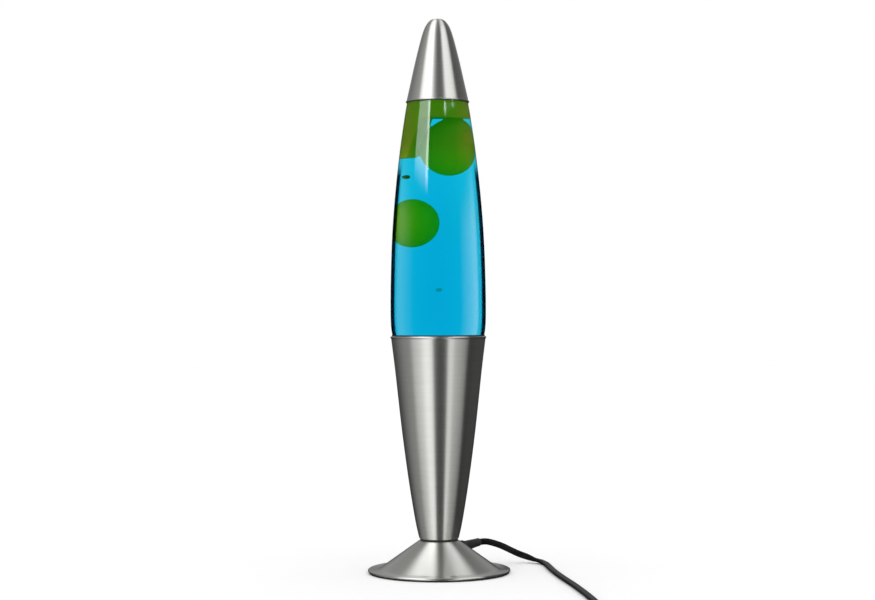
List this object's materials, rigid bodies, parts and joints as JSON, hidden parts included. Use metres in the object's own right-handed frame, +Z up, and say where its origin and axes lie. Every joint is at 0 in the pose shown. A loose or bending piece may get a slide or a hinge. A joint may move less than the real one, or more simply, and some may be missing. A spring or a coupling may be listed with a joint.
{
  "type": "motion lamp",
  "caption": "Rocket-shaped motion lamp: spun metal foot, cone and lift-off nose round a glass bottle of blue liquid and green wax, over a reflector bulb, with switched mains lead.",
  "frame": {"origin": "centre of the foot's underside, on the lamp's axis", "axes": "+Z up the lamp's axis; the mains lead leaves towards +X and comes forward towards -Y, the side the lamp is seen from"},
  "size_m": [0.1816, 0.3461, 0.42],
  "materials": {
    "brushed_metal": "satin",
    "plain_steel": "satin",
    "brass": "polished",
    "tungsten": "satin",
    "black_rubber": "matte",
    "black_plastic": "satin",
    "dark_bakelite": "satin",
    "lead_sheath": "satin",
    "brown_wire": "satin",
    "blue_wire": "satin",
    "clear_glass": "polished",
    "black_glass": "polished",
    "blue_liquid": "polished",
    "green_wax": "satin",
    "liner_foam": "matte"
  },
  "bodies": {
    "base": {"foot_pad": "black_rubber", "seat_ring": "black_rubber", "bottom_plate": "plain_steel", "threaded_nipple": "plain_steel", "lower_nut": "plain_steel", "lock_washer": "plain_steel", "upper_nut": "plain_steel", "switch_pin": "plain_steel", "switch_screw_1": "plain_steel", "switch_screw_2": "plain_steel", "plug_pin_1": "plain_steel", "plug_pin_2": "plain_steel", "base_flange": "brushed_metal", "body_cone": "brushed_metal", "strain_relief": "black_plastic", "relief_lock_ring": "black_plastic", "cord_tie": "black_plastic", "switch_lower_shell": "black_plastic", "switch_upper_shell": "black_plastic", "plug_body": "black_plastic", "plug_sleeve_1": "black_plastic", "plug_sleeve_2": "black_plastic", "inner_cord": "lead_sheath", "lead_from_lamp": "lead_sheath", "lead_to_coil": "lead_sheath", "lead_to_plug": "lead_sheath", "cord_coil": "lead_sheath", "holder_cap": "dark_bakelite", "holder_sleeve": "dark_bakelite", "holder_insert": "dark_bakelite", "holder_screw_shell": "brass", "holder_centre_contact": "brass", "holder_terminal_1": "brass", "holder_terminal_2": "brass", "live_wire": "brown_wire", "neutral_wire": "blue_wire"},
    "bottle": {"glass_bottle": "clear_glass", "crown_cap": "plain_steel", "crown_liner": "liner_foam", "liquid": "blue_liquid", "wax_crown": "green_wax", "wax_pool": "green_wax", "heating_coil": "plain_steel"},
    "nose": {"nose_cap": "brushed_metal"},
    "bulb_base": {"bulb_screw_shell": "plain_steel"},
    "bulb": {"bulb_insulator": "black_glass", "bulb_tip_contact": "plain_steel", "bulb_envelope": "clear_glass", "bulb_stem": "clear_glass", "bulb_lead_wire_1": "tungsten", "bulb_lead_wire_2": "tungsten", "bulb_filament": "tungsten"},
    "drifting_blob": {"wax_blob": "green_wax"},
    "upper_droplet": {"wax_droplet_upper": "green_wax"},
    "lower_droplet": {"wax_droplet_lower": "green_wax"},
    "rocker": {"switch_rocker": "black_plastic"}
  },
  "joints": [
    {"name": "bottle_lift", "type": "slide", "parent": "base", "child": "bottle", "axis": [0, 0, 1], "range_m": [0, 0.05]},
    {"name": "nose_lift", "type": "slide", "parent": "bottle", "child": "nose", "axis": [0, 0, 1], "range_m": [0, 0.07]},
    {"name": "bulb_rise", "type": "slide", "parent": "base", "child": "bulb_base", "axis": [0, 0, 1], "range_m": [0, 0.00846]},
    {"name": "bulb_turn", "type": "hinge", "parent": "bulb_base", "child": "bulb", "pos_m": [0, 0, 0.08], "axis": [0, 0, 1], "range_deg": [0, 1080]},
    {"name": "blob_drift", "type": "slide", "parent": "bottle", "child": "drifting_blob", "axis": [0, 0, 1], "range_m": [-0.07, 0.011], "deforming": ["liquid"]},
    {"name": "upper_droplet_drift", "type": "slide", "parent": "bottle", "child": "upper_droplet", "axis": [0, 0, 1], "range_m": [-0.09, 0.006], "deforming": ["liquid"]},
    {"name": "lower_droplet_drift", "type": "slide", "parent": "bottle", "child": "lower_droplet", "axis": [0, 0, 1], "range_m": [-0.04, 0.06], "deforming": ["liquid"]},
    {"name": "rocker_tilt", "type": "hinge", "parent": "base", "child": "rocker", "pos_m": [0.043, -0.277, 0.0115], "axis": [0, 1, 0], "range_deg": [-16, 0]}
  ],
  "couplings": [
    {"joint": "bulb_turn", "follows": "bulb_rise", "rad_per_m": 2228.1}
  ]
}
